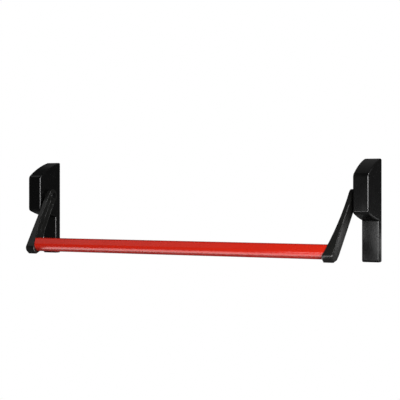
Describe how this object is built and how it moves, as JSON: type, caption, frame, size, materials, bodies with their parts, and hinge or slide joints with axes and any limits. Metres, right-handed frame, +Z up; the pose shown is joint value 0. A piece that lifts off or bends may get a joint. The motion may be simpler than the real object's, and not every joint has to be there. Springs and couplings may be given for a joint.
{
  "type": "panic exit bar",
  "caption": "Push-bar panic exit device: two slim door housings with pivoting arms and a red bar between them; pushing the bar draws back a side latch.",
  "frame": {"origin": "centre of the rectangle of four door-fixing holes, on the door's face", "axes": "+X along the bar, from the active unit (with the latch) to the idle unit; +Y into the door; +Z up"},
  "size_m": [0.7995, 0.1474, 0.203],
  "materials": {
    "red_paint": "satin red powder coat on a steel tube",
    "black_cover": "satin black moulded glass-filled nylon",
    "black_arm": "satin black powder coat on a zinc die casting",
    "black_cap": "satin black moulded nylon",
    "bearing_plastic": "natural acetal",
    "buffer_rubber": "matt black rubber sleeve",
    "plug_plastic": "black moulded nylon",
    "zinc_plate": "zinc-plated pressed steel",
    "spring_wire": "oiled spring wire",
    "bolt_chrome": "nickel-plated, polished where it slides",
    "screw_black": "blackened steel screw",
    "bright_steel": "bright turned steel"
  },
  "bodies": {
    "door_units": {"active_base_plate": "zinc_plate", "active_inner_bracket": "zinc_plate", "active_outer_bracket": "zinc_plate", "active_bushes": "bearing_plastic", "active_stop_pins": "bright_steel", "active_stop_buffers": "buffer_rubber", "active_cover": "black_cover", "active_cover_screw": "screw_black", "latch_guide": "zinc_plate", "latch_guide_screws": "screw_black", "latch_spring": "spring_wire", "slider_studs": "bright_steel", "active_return_spring": "spring_wire", "idle_base_plate": "zinc_plate", "idle_inner_bracket": "zinc_plate", "idle_outer_bracket": "zinc_plate", "idle_bushes": "bearing_plastic", "idle_stop_pins": "bright_steel", "idle_stop_buffers": "buffer_rubber", "idle_cover": "black_cover", "idle_cover_screw": "screw_black", "idle_return_spring": "spring_wire"},
    "bar_and_arms": {"push_bar": "red_paint", "active_arm": "black_arm", "active_arm_cap": "black_cap", "active_hub_screw": "screw_black", "active_bar_plug": "plug_plastic", "active_bar_screw": "screw_black", "active_pivot_shaft": "bright_steel", "active_pivot_collar": "bearing_plastic", "active_shaft_clip": "bright_steel", "active_cam_lever": "bright_steel", "active_lever_key": "bright_steel", "active_lever_pin": "bright_steel", "idle_arm": "black_arm", "idle_arm_cap": "black_cap", "idle_hub_screw": "screw_black", "idle_bar_plug": "plug_plastic", "idle_bar_screw": "screw_black", "idle_pivot_shaft": "bright_steel", "idle_pivot_collar": "bearing_plastic", "idle_shaft_clip": "bright_steel", "idle_stop_lever": "bright_steel", "idle_lever_key": "bright_steel"},
    "slider": {"latch_slider": "zinc_plate"},
    "latch": {"latch_bolt": "bolt_chrome", "latch_bolt_pin": "bright_steel"}
  },
  "joints": [
    {"name": "bar_push", "type": "hinge", "parent": "door_units", "child": "bar_and_arms", "pos_m": [0, -0.0436, 0.0273], "axis": [1, 0, 0], "range_deg": [0, 25], "stiffness_Nm_per_rad": 2, "springref_deg": -57.3, "deforming": ["active_return_spring", "idle_return_spring"]},
    {"name": "slider_lift", "type": "slide", "parent": "door_units", "child": "slider", "axis": [0, 0, 1], "range_m": [0, 0.0123]},
    {"name": "latch_retract", "type": "slide", "parent": "door_units", "child": "latch", "axis": [1, 0, 0], "range_m": [0, 0.0121], "stiffness_N_per_m": 200, "springref_m": -0.025, "deforming": ["latch_spring"]}
  ],
  "couplings": [
    {"joint": "slider_lift", "follows": "bar_push", "m_per_rad": 0.027778},
    {"joint": "latch_retract", "follows": "bar_push", "m_per_rad": 0.027502}
  ]
}
